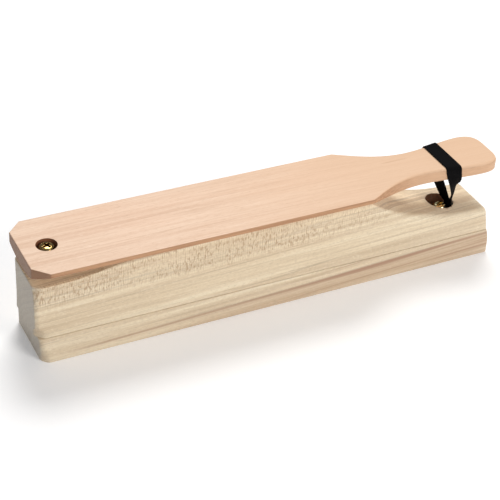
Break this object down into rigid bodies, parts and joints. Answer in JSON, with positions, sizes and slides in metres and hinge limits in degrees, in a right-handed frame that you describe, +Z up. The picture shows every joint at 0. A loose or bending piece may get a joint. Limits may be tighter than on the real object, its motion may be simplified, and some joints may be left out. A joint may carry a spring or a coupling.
{
  "type": "box turkey call",
  "caption": "Slim wooden sound box on a flared base, with a paddle lid that swings on one screw and an elastic strap from the scooped end over the handle.",
  "frame": {"origin": "on the ground, under the middle of the lid's length and on the box's centre line", "axes": "+X from the pivot screw to the handle, +Z up, -Y the near side"},
  "size_m": [0.2424, 0.0432, 0.0527],
  "materials": {
    "box_wood": "satin, sanded pale poplar with straight grain",
    "lid_wood": "satin, fine pinkish straight grain",
    "brass": "polished, lacquered",
    "spring_steel": "plain drawn wire",
    "elastic": "matt, woven over rubber threads"
  },
  "bodies": {
    "box": {"base_board": "box_wood", "sound_box": "box_wood", "pivot_screw": "brass", "pivot_washer": "brass", "pivot_spring": "spring_steel", "band_screw": "brass", "band_washer": "brass", "elastic_strap": "elastic"},
    "lid": {"lid": "lid_wood"}
  },
  "joints": [
    {"name": "lid_swing", "type": "hinge", "parent": "box", "child": "lid", "pos_m": [-0.109, 0, 0.044], "axis": [0, 0, 1], "range_deg": [-15, 15], "stiffness_Nm_per_rad": 0.5, "deforming": ["elastic_strap"]}
  ]
}
